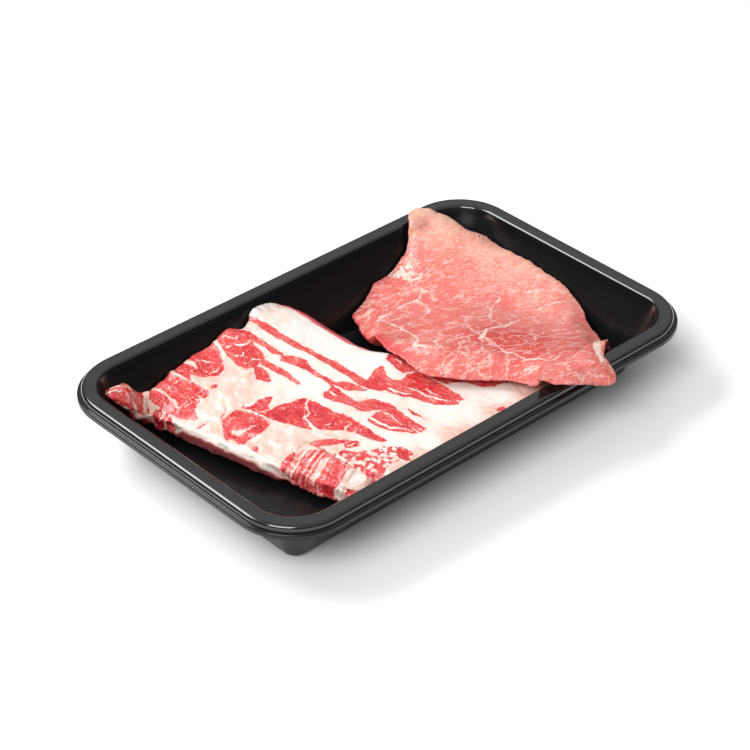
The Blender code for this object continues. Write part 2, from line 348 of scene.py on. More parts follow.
def raise_skin(skin, spots, normals, heights):
    """Moves vertices along their normals by heights in millimetres."""
    moved = (spots + normals * heights[:, None]) * MM
    skin.data.vertices.foreach_set("co", moved.ravel())
    skin.data.update()


print("measuring helpers ready")

# %% [markdown]
# Belly is layered: bands of lean run between bands of white fat, and near the thin end they
# break up into muscles with short white tendons between them. Each area below has a tone,
# from 0 for pale salmon to 1 for deep red, because muscles differ in how dark they are.

# %% The lean areas of the slab
LEAN_AREAS = [
    (0.62, [(-84, 51), (-79, 46.5), (-77, 41), (-75.5, 37), (-73.5, 31.5), (-72, 30.5), (-70.5, 34.5),
     (-68, 36.5), (-62, 36.2), (-60.8, 38), (-61.5, 42), (-63, 46.5), (-61.3, 48.6), (-59.5, 46),
     (-56, 43), (-52, 41.3), (-49, 42), (-47.5, 45), (-45, 48.5), (-43.4, 52), (-41.8, 60), (-60, 60),
     (-72, 58), (-80, 56.5), (-86, 57)]),
    (0.30, [(-83, 45.5), (-92, 45), (-99, 46), (-106, 51), (-101, 58), (-90, 60), (-83, 60)]),
    (0.55, [(-41.3, 61), (-41, 55.5), (-42.5, 51), (-43.6, 46), (-43.8, 40), (-42, 36.5), (-39, 34.8),
     (-36, 35.8), (-34.8, 36.5), (-31.5, 37), (-30.7, 40), (-31, 44), (-30, 46.5), (-28.5, 50),
     (-29, 54), (-30, 60), (-33, 62)]),
    (0.60, [(-28, 31.5), (-26, 33), (-24, 32), (-21.5, 28.5), (-19.5, 24.8), (-20.5, 22.5),
     (-21.2, 19.5), (-23.3, 19.5), (-24.8, 22), (-26.5, 27)]),
    (0.45, [(-43, 30), (-40.5, 33), (-39.5, 35.5), (-36.8, 34.8), (-36, 33), (-36.5, 29.5),
     (-38.5, 24.5), (-40, 25.5), (-41.5, 28)]),
    (0.72, [(-72, 14), (-70.5, 18), (-68, 20.5), (-63, 21.7), (-59.5, 21.5), (-57.5, 18.5), (-56, 14),
     (-55.2, 9), (-55.2, 5.5), (-60, 4.3), (-65, 3.8), (-69, 6), (-70.5, 8.5), (-69.8, 11)]),
    (0.95, [(-57.5, 21.5), (-55.5, 19.5), (-53.5, 19), (-50, 20), (-46.5, 19.5), (-44, 17.5), (-46, 16),
     (-49, 14.5), (-50, 12.5), (-47.5, 12), (-45, 11.5), (-42, 10.5), (-38, 9), (-36, 8), (-35, 5),
     (-38, 5.2), (-40, 3.6), (-42, 0.6), (-44.2, -1), (-45, -4), (-46.5, -9.5), (-49.5, -5), (-52.5, 1),
     (-55, 8), (-56, 14)]),
    (0.85, [(-38, 5.6), (-35.5, 6), (-34.5, 2), (-33.5, -3), (-32.5, -8), (-31.2, -13), (-31, -20),
     (-31, -26), (-31.5, -30), (-31, -36.5), (-34, -35), (-35, -31), (-36.5, -26), (-37, -22),
     (-39, -18), (-42, -14.5), (-44.5, -11), (-44.5, -6), (-43.5, -1), (-41, 2)]),
    (0.55, [(-30, 3), (-28, 5.5), (-26, 5), (-24.5, 5.5), (-22.5, 5), (-22.3, 0), (-22.5, -4),
     (-22, -8.5), (-18.5, -10.5), (-15.8, -12.5), (-15, -15.5), (-14.2, -19), (-14.8, -25), (-15, -33),
     (-15.2, -40.5), (-18.5, -41.5), (-21, -39.5), (-24, -35.5), (-26.5, -30), (-28, -24),
     (-27.7, -20.5), (-26, -19.5), (-24, -20), (-22, -19), (-24.5, -16.5), (-26.2, -14), (-26, -10),
     (-27.5, -5), (-29, -1)]),
    (0.45, [(-21, 6.5), (-18, 5), (-15.5, 2), (-14.5, -3), (-14.2, -6), (-17, -3.5), (-20, -1),
     (-21.2, 2)]),
    (0.55, [(-14.5, 0), (-13.5, -5), (-11, -9), (-8.8, -11), (-9, -14), (-7.5, -19), (-5, -21.5),
     (-4.5, -23), (-3.5, -27), (-1.5, -32), (2, -36), (5.5, -38.3), (8, -36.5), (10, -37), (10.5, -33),
     (10.7, -24), (10.8, -17), (10.5, -12), (9, -9), (5, -8.3), (2.2, -9.3), (0, -9.5), (-1.8, -6.5),
     (-1.5, -2.5), (0, 1.5), (-3, 2.3), (-8, 0), (-11, -0.3), (-11.5, 2)]),
    (0.50, [(2.6, 3.5), (5, 4.8), (8.5, 6), (12, 5), (16, -3), (22, -10), (34, -22), (50, -38),
     (56, -50), (50, -56), (46, -53.5), (44, -50.5), (41.5, -46), (36, -45), (34, -41), (31, -38.5),
     (25.5, -38), (21.5, -34.5), (19, -27.5), (15, -24.5), (12.3, -24.3), (11.5, -20), (11, -14),
     (10.8, -9.5), (8, -8), (4.5, -7), (3.3, -3)]),
    (0.62, [(-52.5, -15), (-51, -14.5), (-48, -17), (-45.5, -19.5), (-42, -24), (-40, -29), (-41, -31),
     (-44, -29), (-46, -27), (-44.5, -24.5), (-47, -23.5), (-49.5, -22), (-52, -19)]),
]
print(len(LEAN_AREAS), "lean areas")

# %% The lean bands, spots and the streaks of fat that cut them
LEAN_BANDS = [
    (0.50, [(-30, 54, 2.0), (-29, 48, 1.5), (-27.5, 42, 1.4), (-26.5, 37, 1.3), (-25.3, 33.4, 0.5)]),
    (0.45, [(-22.5, 20, 1.5), (-22.5, 14, 1.2), (-22, 9, 1.2), (-22, 5.5, 1.6)]),
    (0.50, [(-34, 37, 1.6), (-33, 32, 1.6), (-32, 27, 1.5), (-31.5, 22, 1.3), (-31.6, 16.5, 0.8)]),
    (0.48, [(-22.5, 60, 0.9), (-21.5, 53, 1.5), (-20, 46, 1.9), (-18.2, 38, 1.6), (-16, 30, 1.5),
     (-14, 24, 1.5), (-12.9, 18, 1.9), (-12.6, 10, 1.8), (-12.3, 3, 2.0), (-12, -1, 2.4)]),
    (0.70, [(-68.5, 20.8, 0.1), (-66.5, 22.6, 0.4), (-64, 24.2, 0.3), (-62, 26, 0.2)]),
    (0.70, [(-57, 21, 0.6), (-55, 22.5, 0.2)]),
    (0.75, [(-58.2, 37.9, 0.9), (-56.8, 37.4, 0.8)]),
    (0.75, [(-68.6, 1.3, 0.7), (-67.8, 0.6, 0.7)]),
    (0.95, [(15.2, -50.6, 0.9), (17, -51.2, 1.2)]),
    (0.65, [(-11.2, -26, 0.3), (-11.9, -30.5, 0.9), (-11.3, -32.5, 0.5), (-11, -36, 0.2)]),
    (0.60, [(-76.5, 30, 0.3), (-74, 27, 0.5), (-71, 25, 0.2)]),
    (0.85, [(-31.5, -43, 1.2), (-33.5, -45, 1.4), (-31.3, -47, 1.2), (-33.5, -49.3, 0.8)]),
    (0.85, [(-57.5, -33.5, 1.0), (-54.5, -33.2, 1.6), (-56, -36.5, 1.4)]),
]
FAT_STREAKS = [
    [(-77.2, 57, 1.2), (-76.5, 52.5, 1.0), (-75.2, 48, 0.6), (-74.6, 44, 0.2)],
    [(-66, 58, 0.9), (-65.2, 53, 0.75), (-64.3, 49, 0.35), (-63.6, 45.5, 0.1)],
    [(-57.6, 58, 1.2), (-56.5, 53, 1.0), (-57, 49.5, 0.4)],
    [(-76, 49.6, 0.1), (-71, 49.2, 0.02), (-67, 50, 0.15), (-62, 49.6, 0.05), (-58.5, 49.7, 0.3)],
    [(-74.6, 46.5, 0.1), (-73.8, 43.2, 0.8), (-74.4, 40.4, 0.2)],
    [(-75.5, 40.3, 0.1), (-71, 40.1, 0.15), (-66, 40.4, 0.02), (-62, 40, 0.1)],
    [(-72.3, 38.6, 0.35), (-69, 37.6, 0.1), (-66, 37.7, 0.25), (-63, 38.4, 0.1)],
    [(-55.8, 46.5, 0.1), (-53.5, 44.6, 0.35), (-51.5, 43.9, 0.4), (-50, 44.2, 0.1)],
    [(-52.5, 52, 0.15), (-51, 50, 0.5), (-49.5, 48.6, 0.1)],
    [(-40.5, 50.5, 0.35), (-37.5, 49.8, 0.15), (-36.2, 47.8, 0.5), (-33.2, 46.6, 0.3), (-31, 47, 0.3)],
    [(-42.8, 44.3, 0.1), (-40, 44.4, 0.3), (-38.5, 42.8, 0.15), (-36.8, 44.4, 0.25)],
    [(-37, 56.5, 0.1), (-36.5, 53.5, 0.3), (-35, 51.5, 0.3), (-33, 52.5, 0.12)],
    [(-41, 39.5, 0.3), (-38.5, 38.2, 0.15), (-36.5, 39.2, 0.3), (-34, 37, 0.25)],
    [(-69, 13.6, 0.4), (-67.4, 10.7, 0.9), (-64, 9.3, 0.4), (-60, 9.2, 0.25)],
    [(-66.5, 17.8, 0.1), (-64.8, 18.6, 0.3), (-63, 18.3, 0.1)],
    [(-56.8, 20, 0.3), (-55.2, 12, 0.35), (-53.6, 5, 0.45), (-50.8, -3, 0.5), (-47.6, -10, 0.5)],
    [(-56, 15.4, 0.3), (-52.5, 13.4, 0.25), (-49.5, 12, 0.3), (-46.5, 12.4, 0.3)],
    [(-44.3, -1.6, 0.5), (-41.3, -1.4, 0.35), (-40, 1.8, 0.3), (-37.5, 4.8, 0.35), (-35, 6, 0.3)],
    [(-39, -19.4, 0.6), (-36.5, -17.2, 0.45), (-33.6, -17.6, 0.15)],
    [(-36.6, -22.6, 0.4), (-34.5, -21.6, 0.25)],
    [(-42, -9.8, 0.1), (-40, -11.4, 0.25), (-38.5, -11, 0.1)],
    [(-25.9, -20.5, 0.6), (-25.6, -25, 0.6), (-24.6, -30, 0.55), (-22.2, -34, 0.4), (-20.3, -38, 0.2)],
    [(-25.6, 3.8, 0.5), (-25.3, 0, 0.35)],
    [(-22, 5.5, 0.3), (-21.8, 0.5, 0.6)],
    [(-23, -17.4, 0.35), (-21, -19.6, 0.5), (-19.5, -20, 0.2)],
    [(-20, -20.5, 0.2), (-19.6, -26, 0.25), (-20.3, -32, 0.2)],
    [(-18.6, -35, 0.15), (-18.8, -41.5, 0.3)],
    [(-16.9, -35, 0.1), (-17, -40.5, 0.25)],
    [(-6.8, -11, 0.7), (-6.6, -15, 0.8), (-5.4, -17.6, 0.4), (-3.2, -20, 0.2)],
    [(-1.5, -15, 0.1), (0, -19, 0.55), (0.4, -25, 0.55), (2, -30, 0.45), (4.4, -34, 0.3)],
    [(3.6, -21, 0.3), (3.2, -26, 0.3), (4, -30, 0.15)],
    [(7, -35, 0.15), (7.2, -39, 0.3)],
    [(15.4, -3, 1.1), (12, -8, 0.7), (10.8, -12, 0.4)],
    [(6.2, 1, 0.2), (7.5, -1, 0.4), (6.4, -2.6, 0.2)],
    [(-44, -27, 0.4), (-41.5, -28.5, 0.3)],
    [(-99, 56.5, 0.3), (-94, 53.5, 0.9), (-89, 51.5, 0.6)],
    [(-79, 58, 0.6), (-80, 53, 1.1), (-84, 49, 1.0), (-86.5, 46.5, 0.6)],
    [(-101, 53, 0.2), (-97, 51.5, 0.5), (-94, 50.5, 0.2)],
]
print(len(LEAN_BANDS), "bands and", len(FAT_STREAKS), "streaks of fat")

# %% [markdown]
# Towards the front corner the lean is broken into crumbs between threads of fat, and at the
# far left end threads of fat run through it. Drawing every crumb would be slow and would look
# placed. Noise that is only let through inside an outline gives them their uneven sizes. The
# ribs are noise that is long in height and short along the cut face, like the fibres there.

# %% Measure the lean on the slab
CRUMBS = [(-52, -27), (-47, -28), (-44, -33), (-40, -36), (-35, -37), (-31, -42), (-29.5, -46),
          (-29, -51), (-33, -51.5), (-38, -48.5), (-44, -49), (-49, -51), (-53, -50),
          (-50.5, -42), (-53.5, -36), (-56, -31), (-53, -29)]
FAT_THREADS = [(-108, 64), (-108, 44), (-84, 44), (-80, 34), (-66, 34), (-58, 44), (-50, 40),
               (-40, 46), (-40, 64)]
WISPS = [(-63, -12), (-57, -17), (-53, -22), (-53, -38), (-60, -38), (-68, -22), (-66, -12)]
CRUMB_TONE, WISP_TONE = 0.8, 0.6


def lay_lean(lean, tone, shape, deep):
    """Adds a lean shape, whose tone counts where it reaches deeper than those before."""
    return np.maximum(lean, shape), np.where(shape > lean, deep, tone)


spots, normals = read(slab)
plan, y, z = spots[:, :2], spots[:, 1], spots[:, 2]
wobble = frayed(spots, (1, 2), (3.0, 0.45), (1.1, 0.22))
drawn = plan + wobble
lean = np.full(len(plan), -6.0)
tone = np.full(len(plan), 0.5)
for deep, outline in LEAN_AREAS:
    lean, tone = lay_lean(lean, tone, area(drawn, outline), deep)
for deep, line in LEAN_BANDS:
    lean, tone = lay_lean(lean, tone, streak(drawn, line), deep)
low = spots * (1, 1, 0.4)
crumb = 1.3 * (swell(low, 1.4, 9) + 0.6 * swell(low, 0.8, 10) + 0.05)
lean, tone = lay_lean(lean, tone, np.minimum(area(drawn, CRUMBS), crumb), CRUMB_TONE)
run = z - spots[:, 0]
ribs = swell(np.stack([y + 0.12 * run, run * 0.10, run * 0], axis=1), 0.95, 20)
wisp = 1.3 * (ribs + 0.32)
lean, tone = lay_lean(lean, tone, np.minimum(area(drawn, WISPS), wisp), WISP_TONE)
threads = swell(spots * (1, 0.26, 0.2), 2.0, 14) + 0.45 * swell(spots * (1, 0.5, 0.3), 1.0, 15)
threads = 1.1 * (threads - 0.84 + 0.34 * step(-plan[:, 0], 84, 90))
lean = np.minimum(lean, -np.minimum(area(drawn, FAT_THREADS), threads))
for line in FAT_STREAKS:
    lean = np.minimum(lean, -streak(drawn, line))
print("share of the slab that is lean:", round(float(np.mean(lean > 0)), 2))

# %% [markdown]
# The cut face on the left shows the same layers end on, as upright stripes over a dark red
# underside, whose dark red is partly its own and partly painted shade. Its outlines are drawn
# on the upright face, along y and up z, each with the amount of lean that it lets through.

# %% The cut face on the left
FACE_LEAN = [
    (0.0, [(-10.5, 17.5), (-14, 19), (-33, 19), (-34, 6), (-28, 4.5), (-17, 5), (-12.5, 10)]),
    (0.7, [(-33, 19), (-38.5, 19), (-37, 9), (-37, 1), (-32, 1)]),
    (0.4, [(-41.5, 17), (-46, 19), (-58, 18), (-58, 1), (-41, 1)]),
    (0.2, [(37.5, 1), (39, 8), (40, 14), (38, 20), (44, 40), (64, 40), (64, 0)]),
]
FACE_STREAK = [(49, 21, 0.9), (47.5, 13, 0.7), (46, 6, 0.3)]
stripes = 1.3 * (ribs + 0.40)
face = np.full(len(y), -2.0)
upright = np.stack([y + wobble[:, 0], z + wobble[:, 1]], axis=1)
for more, outline in FACE_LEAN:
    face = np.maximum(face, np.minimum(area(upright, outline), stripes + more))
face = np.minimum(face, -streak(upright, FACE_STREAK))
# The face's red deepens at its near end, and low down at its far end and under the nub; the low
# deepening is partly the meat's own red and partly painted shade.
face_tone = 0.6 + 0.4 * step(-y, 31, 34) + 0.9 * step(y, 40, 44) * step(-z, -13, -8)
face_tone += 0.6 * step(swell(np.stack([y, z * 0.2, y * 0], axis=1), 1.6, 21), 0.1, 0.6)
face_tone += 0.7 * step(y, 48, 51) * step(-z, -22, -16)
side = step(0.72 - normals[:, 2], 0.0, 0.25) * step(-normals[:, 0], 0.1, 0.3)
side *= step(-spots[:, 0], 45, 52)
lean = np.clip(lean * (1 - side) + face * side, -4, 4)
tone = tone * (1 - side) + face_tone * side
# Below edge_line the upright face is painted dark red: partly the underside's darker meat, partly
# painted shade under the overhanging fat.
edge_line = 5.6 + 3.6 * step(y, -14, -2) - 3.6 * step(y, 33, 38)
edge_line += swell(spots * (1, 1, 0.2), 7.0, 31)
edge_line += 0.5 * swell(spots, 1.5, 32)
under = step(edge_line - z, -0.6, 1.2) * step(-normals[:, 0], -0.2, 0.2)
under *= step(-spots[:, 0], 40, 50)
print("vertices on the cut face:", int(np.sum(side > 0.5)))

# %% [markdown]
# Fat isn't one white either. It is creamy and a little peach where it is thick and moist,
# and almost pure white in the dry bands, so a slow map of cream is drawn over the slab. The
# side towards the slice keeps a strip of red rind, the fat of one far corner is so thin that
# it looks like glass, and a crease runs along the top of the cut face, painted dark red as
# the shade that lies in it.

# %% Draw the cream, the rind, the clear corner and the crease
CREAM_SPOTS = [
    (-55, 32, 0.75), (-62, 30, 0.7), (-48, 35, 0.6), (-40, 18, 0.25), (-62, -4, 0.75),
    (-58, -10, 0.7), (-68, 28, 0.6), (-72, 22, 0.7), (-47, -47, 0.6), (-35, 50, 0.2),
    (-25, 20, 0.1), (-15, 35, 0.0), (-5, 40, 0.0), (-28, 10, 0.1), (-10, 55, 0.35),
    (-20, 57, 0.4), (0, 30, 0.0), (-5, 15, 0.0), (-48, 5, 0.3), (-30, -40, 0.0),
    (0, -42, 0.0), (-20, -46, 0.1), (20, -44, 0.0), (-10, -53, 1.0), (-30, -53, 0.9),
    (15, -53, 1.0), (35, -53, 1.0), (-75, -20, 0.8), (-70, 5, 0.8),
]
RIND_Y = range(5, 61, 5)
RIND_X = (7.5, 4.8, 3.6, 2.4, 1.0, 0.3, -0.6, -1.2, -2.2, -3.9, -5.2, -9.5)
CREASE = [(-52.2, -14.5, 0.2), (-52.5, -22, 0.35), (-52.2, -30, 0.35), (-51.6, -38, 0.2)]
cream = soft_map(plan, CREAM_SPOTS)
past_line = plan[:, 0] + 0.6 * swell(spots, 3.0, 33) - np.interp(y, RIND_Y, RIND_X)
rind = step(past_line, -0.2, 1.0)
rind *= step(y, 4, 8) * step(-y, -60, -57)
clear = np.exp(-((plan[:, 0] + 14) / 5.5) ** 2) * step(y, 54.5, 58)
crease = streak(plan, CREASE)
print("vertices of rind:", int(np.sum(rind > 0.5)), "and of clear fat:", int(np.sum(clear > 0.5)))

# %% [markdown]
# Then the skin is raised and sunk. Lean shrinks when it is cut and lies lower than the fat,
# its fibres stand up as fine ridges across the bands, and the fat rolls in soft swells,
# higher where it is creamy. The cut face bulges a little between its edges. The clear
# corner and the front end are lumpy, because there the knife left loose scraps.

# %% Raise and sink the slab's skin
sunk = step(lean, -0.5, 0.9)
thick_fat = step(cream, 0.1, 0.6)
across = np.stack([plan[:, 0] * 0.35 + plan[:, 1] * 0.1, plan[:, 1], z], axis=1)
heights = -0.32 * sunk
heights += sunk * (0.10 * swell(across, 0.9, 40) + 0.07 * swell(spots, 0.8, 41))
rolls = swell(spots, 2.4, 42) + 0.4 * swell(spots, 1.0, 43)
heights += (1 - sunk) * (0.08 + 0.22 * thick_fat) * rolls
heights += (0.2 + 0.4 * thick_fat) * swell(spots, 6.0, 44) - 0.7 * step(crease, -0.8, 0.3)
heights += 0.7 * clear * swell(spots, 2.4, 50)
front_end = step(-plan[:, 0], 46, 50) * step(-y, 36, 41)
heights += 1.1 * front_end * swell(spots, 3.0, 49)
heights += step(-plan[:, 0], 50, 54) * step(-y, 8, 14) * 0.8 * ribs
heights += side * 0.5 * swell(spots, 4.0, 46)
heights += side * step(y, 30, 42) * 0.9 * swell(spots, 3.0, 47)
folds = swell(spots * (1, 0.35, 0.6), 3.2, 48)
heights += 0.6 * step(y, 34, 40) * step(-plan[:, 0], 38, 50) * folds
heights += 0.8 * side * np.exp(-((z - 12.0) / 4.0) ** 2)
print("relief on the slab, mm:", round(float(heights.min()), 2), round(float(heights.max()), 2))

# %% [markdown]
# Cut meat has no sharp edge: its top rolls over into the cut face, by the distance from the
# rim of that face as seen from above. The rest of the cell fits the slab to what it touches.
# The dark underside stands out a little, nothing swells into the near wall of the tray, the
# top rises beside the slice, and the thin slivers that the Remesh leaves along the near rim
# are pressed level.

# %% Round the cut edge and fit the slab to the tray
EDGE_DROP, EDGE_WIDTH, FAR_OFF = 2.2, 7.0, 99.0
NEAR_END, NEAR_TOP, NEAR_LIMIT = -55.8, 19.0, -57.2
spots[:, 0] -= 0.8 * under * step(normals[:, 2], -0.7, -0.2)
upright_rim = (normals[:, 0] < -0.6) & (np.abs(normals[:, 2]) < 0.3) & (plan[:, 0] < -45)
cut_rim = plan_tree(spots[upright_rim])
inset = np.array([cut_rim.find((x, y, 0))[2] if x < -38 else FAR_OFF for x, y, _ in spots])
rounded = (1 - step(inset, 0.0, EDGE_WIDTH)) * step(normals[:, 2], -0.1, 0.3) * step(z, 8, 14)
spots[:, 2] -= EDGE_DROP * rounded
at_wall = step(-normals[:, 1], 0.1, 0.4) * step(-plan[:, 1], 44, 50)
heights = np.where(at_wall > 0, np.minimum(heights, 0.3) - 0.9 * at_wall, heights)
lift = np.exp(-((spots[:, 1] - 5) / 8) ** 2) * step(spots[:, 0], -5, 4)
spots[:, 0] += 1.6 * lift
spots[:, 2] += 2.6 * lift
near_end = plan[:, 1] < NEAR_END
spots[near_end, 2] = np.minimum(spots[near_end, 2], NEAR_TOP)
spots[near_end, 1] = np.maximum(spots[near_end, 1], NEAR_LIMIT)
raise_skin(slab, spots, normals, heights)
# Painted light: between y -8 and 34 the cut face's fat loses most of its cream, so that upright face
# looks as bright as the top.
cream = cream * (1 - 0.75 * side * step(spots[:, 1], -14, -8) * step(-spots[:, 1], -40, -34))
store(slab, lean=lean, tone=tone, cream=cream, under=under, rind=rind, clear=clear,
      crease=step(crease, -0.3, 0.2))
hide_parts("belly_slab")
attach(slab, "root")
print("vertices rounded along the cut edge:", int(np.sum(rounded > 0.5)))

# %% [markdown]
# The slice is nearly all lean. Fat runs through it only as fine veins that branch like a
# river, and as a patch of flecks near its upper edge. The veins are lines with a width, and
# the flecks are noise let through inside an outline, like the crumbs of the slab.

# %% The veins of the lean slice
VEINS = [
    [(28.5, 34, 0.6), (28.6, 28, 0.35), (27.2, 22, 0.65), (25.5, 16, 0.4), (24.5, 11, 0.6),
     (22.5, 5, 0.65), (20, 1, 0.6), (15.5, -1.6, 1.0), (17, -4.5, 0.6), (18.5, -9, 0.25)],
    [(28, 33.6, 0.7), (31, 34.6, 1.0), (33.5, 34, 0.7), (36.5, 33.6, 0.4)],
    [(40.4, 34.8, 0.5), (45, 34, 0.4), (49, 32.6, 0.7), (52, 34, 0.4), (56, 36.2, 0.5), (58, 34, 0.35),
     (62, 32, 0.25)],
    [(49, 32.6, 0.4), (49.5, 28, 0.15), (48, 24, 0.4), (46.5, 22, 0.95), (42, 20, 0.35),
     (40, 17, 0.15)],
    [(50.5, 19, 0.15), (52, 16.5, 0.4), (55.8, 15, 0.3)],
    [(40, 7, 0.35), (41, 4, 0.5), (44, 3, 0.5), (46, 4.6, 0.15)],
    [(44, 3, 0.3), (44, -2, 0.25), (42.5, -6, 0.2), (41, -9, 0.15), (41, -14, 0.3)],
    [(81, 11.5, 0.2), (77, 10.5, 0.3), (74, 8, 0.45), (70, 7, 0.4), (66, 5, 0.5), (63.5, 2, 0.4),
     (60, -1, 0.6), (57, -4, 0.3), (54.5, -7.5, 0.2)],
    [(51, 7, 0.4), (53, 3, 0.45), (56, 0.6, 0.35), (59.5, -0.6, 0.5)],
    [(38, -16, 0.4), (41, -15.6, 1.0), (44, -14, 0.9), (48, -11.6, 0.8), (52, -11.4, 0.6),
     (56, -13, 0.8), (60, -12, 0.75), (63.5, -10.4, 0.6), (68, -10, 0.3), (74, -10.2, 0.15)],
    [(63.5, -10.4, 0.4), (64.5, -6, 0.25), (66, -3, 0.15)],
    [(41, -16, 0.7), (40.8, -20, 0.45), (40, -24, 0.35), (39, -28, 0.35), (38.5, -31, 0.7),
     (40.5, -34, 0.6), (40, -37, 0.3), (40, -41, 0.45), (42, -43.6, 0.9), (44, -45, 0.6),
     (43, -49, 0.35), (44.5, -52, 0.7), (48, -51.6, 0.5), (51.5, -50.5, 0.2)],
    [(40, -16, 0.4), (36, -20, 0.35), (32, -24, 0.3), (31, -27, 0.2)],
    [(55.5, -16, 0.25), (56.5, -22, 0.35), (59, -25, 0.3), (57, -30, 0.3), (52.5, -32.5, 0.2)],
    [(24.5, 3, 0.2), (23.5, -4, 0.25), (22, -9, 0.6), (21.5, -14, 0.2), (21, -20, 0.2)],
    [(79, -8.6, 0.3), (81, -9.2, 0.45), (84, -10, 0.25), (88, -12, 0.4), (92, -14.5, 0.3),
     (97, -15, 0.3)],
    [(75, -15.5, 0.2), (77, -17, 0.4), (80, -20, 0.2)],
    [(26.8, -22, 0.2), (28, -19.4, 0.4), (29, -17, 0.2)],
    [(47.5, -45.5, 0.2), (51, -43, 0.35), (53, -40, 0.15)],
    [(56.5, -40.5, 0.2), (60.5, -39.5, 0.2)],
    [(58.5, -26.5, 0.15), (63, -28, 0.4), (66, -27, 0.2)],
    [(36, 11.5, 0.3), (38, 10, 0.3)],
    [(31.8, -13, 0.5), (33, -13.6, 0.4)],
    [(27, -9, 0.4), (28.5, -10, 0.4)],
    [(21.5, -33, 0.4), (23.5, -34, 0.4)],
    [(68, 36, 0.2), (71, 33.4, 0.3), (74, 33, 0.2)],
    [(84, 4, 0.2), (88, 0, 0.25), (91, -5, 0.2), (95, -8, 0.15)],
    [(78, 2, 0.2), (80, 1.5, 0.35)],
]
EDGE_FAT = [(74, -47.5, 0.3), (71, -51, 1.0), (66, -55.5, 1.4), (60, -60.5, 1.5),
            (55.5, -66, 1.1), (53, -70.5, 0.6)]
FLECK_PATCH = [(52, 52.5), (53.5, 55.5), (59, 54.5), (62.5, 51.5), (61.5, 46.5), (59, 44),
               (63, 43.4), (61, 41), (56.5, 43.5), (53.5, 47.5)]
print(len(VEINS), "veins")

# %% Measure the fat and the peach of the slice
PEACH_SPOTS = [
    (78, 63, 1.15), (85, 55, 1.1), (75, 55, 0.8), (90, 40, 0.8), (95, 30, 0.95),
    (97, 10, 0.9), (96, -5, 0.7), (88, 20, 0.55), (88, 0, 0.45), (90, -15, 0.4),
    (80, -30, 0.15), (75, 30, 0.3), (70, 10, 0.15), (60, 30, 0.1), (50, 45, 0.05),
    (40, 20, 0.1), (50, 0, 0.0), (50, -25, -1.1), (48, -18, -0.9), (45, -30, -0.7),
    (30, -30, 0.0), (20, 0, 0.05), (30, 40, -0.1), (15, 15, -0.1), (60, -50, -0.1),
    (45, -60, 0.1), (35, -65, 0.1), (65, 50, 0.2), (22, 25, 0.0), (70, -20, 0.1),
]
spots, normals = read(lean_slice)
plan = spots[:, :2]
drawn = plan + frayed(spots, (51, 52), (2.6, 0.5), (0.9, 0.25))
fat = np.full(len(plan), -4.0)
for line in VEINS:
    fat = np.maximum(fat, streak(drawn, line))
fat += np.where(fat > -1, 0.22 * swell(spots, 1.6, 62) - 0.16, 0)
flecks = 1.6 * (swell(spots * (0.7, 1, 0.4), 1.0, 60) + 0.9 * swell(spots, 0.6, 61) + 0.25)
fat = np.maximum(fat, np.minimum(area(drawn, FLECK_PATCH), flecks))
fat = np.maximum(fat, streak(drawn, EDGE_FAT))
peach = soft_map(plan, PEACH_SPOTS)
peach = np.where(normals[:, 2] < 0, np.minimum(peach, 0.1), peach)
print("share of the slice that is fat:", round(float(np.mean(fat > 0)), 3))

# %% [markdown]
# A slice gets thinner towards its edge, so each vertex is drawn towards the height of the
# nearest part of the slice's own border, as seen from above. Where the slice crosses the
# near rim of the tray it bridges the edge: there it rises a little and its left border is
# drawn out, so that it hides the edge it lies on. Its left corner is pulled to a point, and
# the border that lies over the slab is thinner and sags.

# %% Thin the edge and bend the slice over the near rim
EDGE_SHARE, EDGE_REACH, BRIDGE_RISE, SLICE_TOP, DRAWN_OUT = 0.42, 9.0, 4.0, 35.0, 7.0
rim = spots[np.abs(normals[:, 2]) < 0.12]
rim_tree = plan_tree(rim)
close = [rim_tree.find((x, y, 0)) for x, y, _ in spots]
inset = np.array([found[2] for found in close])
rim_level = rim[[found[1] for found in close], 2]
lip = step(-plan[:, 0], -46, -38) * step(-plan[:, 1], -22, -14) * step(plan[:, 1], -54, -48)
thin = EDGE_SHARE - 0.2 * lip
thin = thin + (1 - thin) * step(inset, 0.5, EDGE_REACH + 3.0 * lip)
spots[:, 2] = rim_level + (spots[:, 2] - rim_level) * thin
bridge = np.exp(-((plan[:, 1] + 59) / 6.5) ** 2) * step(-plan[:, 0], -48, -34)
level = np.maximum(spots[:, 2], SLICE_TOP)
spots[:, 2] = np.minimum(spots[:, 2] + BRIDGE_RISE * bridge, level)
stretch = bridge * (1 - step(inset, 0.5, DRAWN_OUT))
spots[:, 0] -= 3.6 * stretch
bite = np.exp(-((plan[:, 1] + 62) / 3.2) ** 2) * step(-plan[:, 0], -46, -38)
spots[:, 0] -= 3.0 * bite * (1 - step(inset, 0.5, DRAWN_OUT))
spots[:, 1] -= 2.6 * stretch
pull = np.clip(1 - np.hypot(plan[:, 0] - 27.5, plan[:, 1] - 48) / 5.0, 0, 1) ** 1.5
spots[:, 0] -= 0.5 * pull
spots[:, 1] += 0.8 * pull
sag = np.exp(-((plan[:, 0] - 19) / 6) ** 2 - ((plan[:, 1] - 22) / 6) ** 2)
spots[:, 0] -= sag
spots[:, 2] -= sag
print("rim of the slice:", len(rim), "vertices")

# %% [markdown]
# The relief of the slice is fine: long low ridges along the fibres, veins that stand a
# little proud of a narrow groove, and a rougher cut edge. A fold is kept as a value where
# the left border turns under, because the lean there is seen end on and looks redder.

